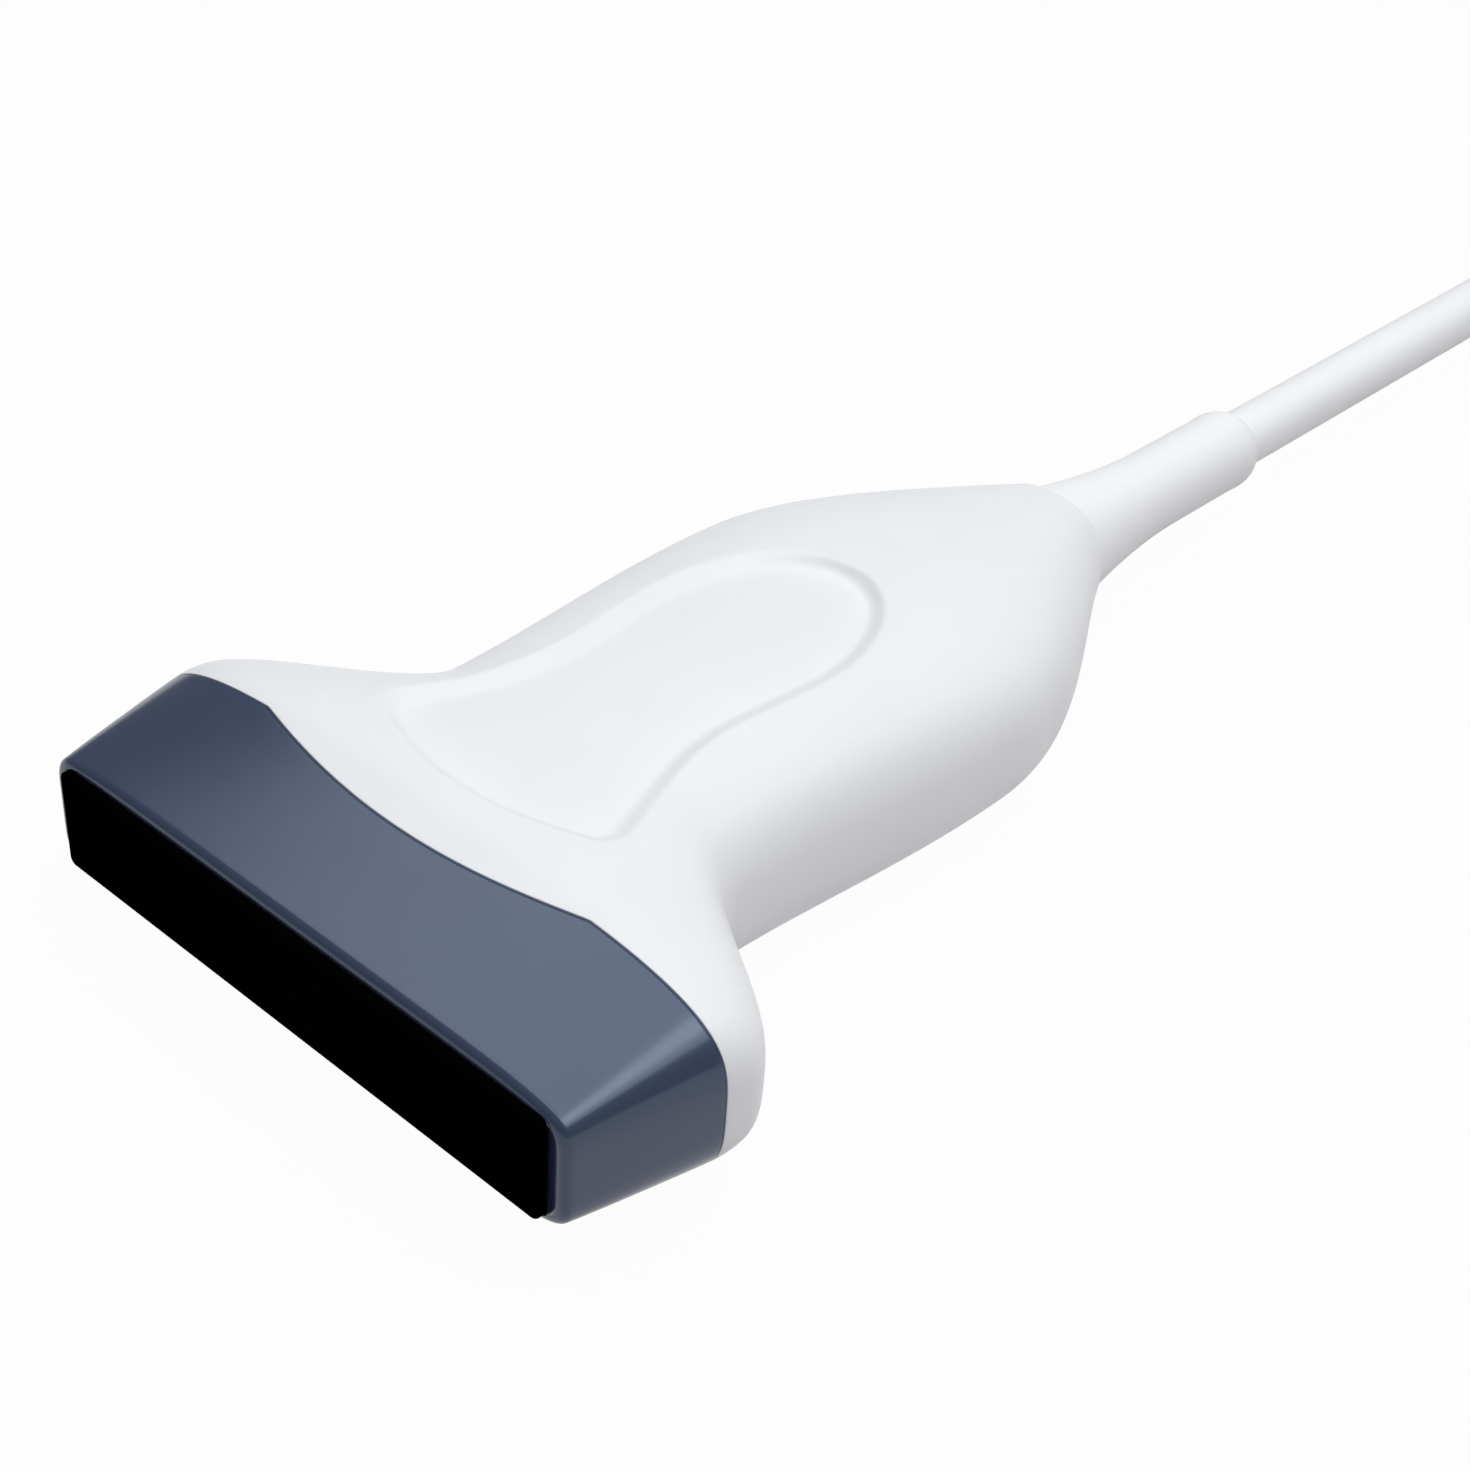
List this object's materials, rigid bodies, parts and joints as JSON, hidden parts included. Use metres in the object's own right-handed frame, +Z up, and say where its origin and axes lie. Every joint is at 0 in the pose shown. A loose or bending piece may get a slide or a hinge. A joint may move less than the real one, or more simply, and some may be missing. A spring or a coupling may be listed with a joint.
{
  "type": "ultrasound transducer probe",
  "caption": "Hand-held linear ultrasound probe: flat lens in a wide nose, waisted handle with thumb recesses, flared strain relief, coiled cable and flat-contact connector.",
  "frame": {"origin": "On the table under the middle of the probe's box, halfway between the lens face and the end of the strain relief; the cable and what is on it are left out.", "axes": "+X across the width, +Y from the lens towards the cable, so the lens faces -Y, and +Z up through the broad side that lies uppermost."},
  "size_m": [0.1108, 0.3336, 0.0236],
  "materials": {
    "lens_silicone": "smooth satin",
    "nose_plastic": "fine satin",
    "seal_rubber": "matte",
    "handle_plastic": "fine satin",
    "relief_elastomer": "soft matte",
    "matching_resin": "lapped",
    "piezo_ceramic": "diced",
    "backing_rubber": "matte",
    "carrier_plastic": "moulded",
    "flex_film": "smooth film",
    "board_laminate": "smooth resist",
    "shield_metal": "thin rolled sheet",
    "core_sleeving": "bundled cores",
    "steel": "plain",
    "cable_jacket": "smooth matte",
    "strap_fabric": "woven strap",
    "connector_plastic": "fine satin",
    "contact_metal": "plated"
  },
  "bodies": {
    "root": {"acoustic_lens": "lens_silicone", "nose_housing": "nose_plastic", "seam_seal": "seal_rubber", "handle_shell": "handle_plastic", "strain_relief": "relief_elastomer", "matching_layer_outer": "matching_resin", "matching_layer_inner": "matching_resin", "piezo_array": "piezo_ceramic", "backing_block": "backing_rubber", "array_carrier": "carrier_plastic", "flex_circuit_top": "flex_film", "flex_circuit_bottom": "flex_film", "flex_clamps": "carrier_plastic", "termination_board_top": "board_laminate", "termination_board_bottom": "board_laminate", "board_spacers": "carrier_plastic", "shield_sleeve": "shield_metal", "coax_bundle": "core_sleeving", "crimp_ferrule": "steel", "cable": "cable_jacket", "cable_coil": "cable_jacket", "cable_tail": "cable_jacket", "cable_tie": "strap_fabric", "connector_shell_top": "connector_plastic", "connector_shell_bottom": "connector_plastic", "connector_block": "carrier_plastic", "connector_contacts": "contact_metal", "connector_board": "board_laminate", "connector_boot": "relief_elastomer", "connector_cores": "core_sleeving", "connector_screws": "steel"}
  },
  "joints": []
}
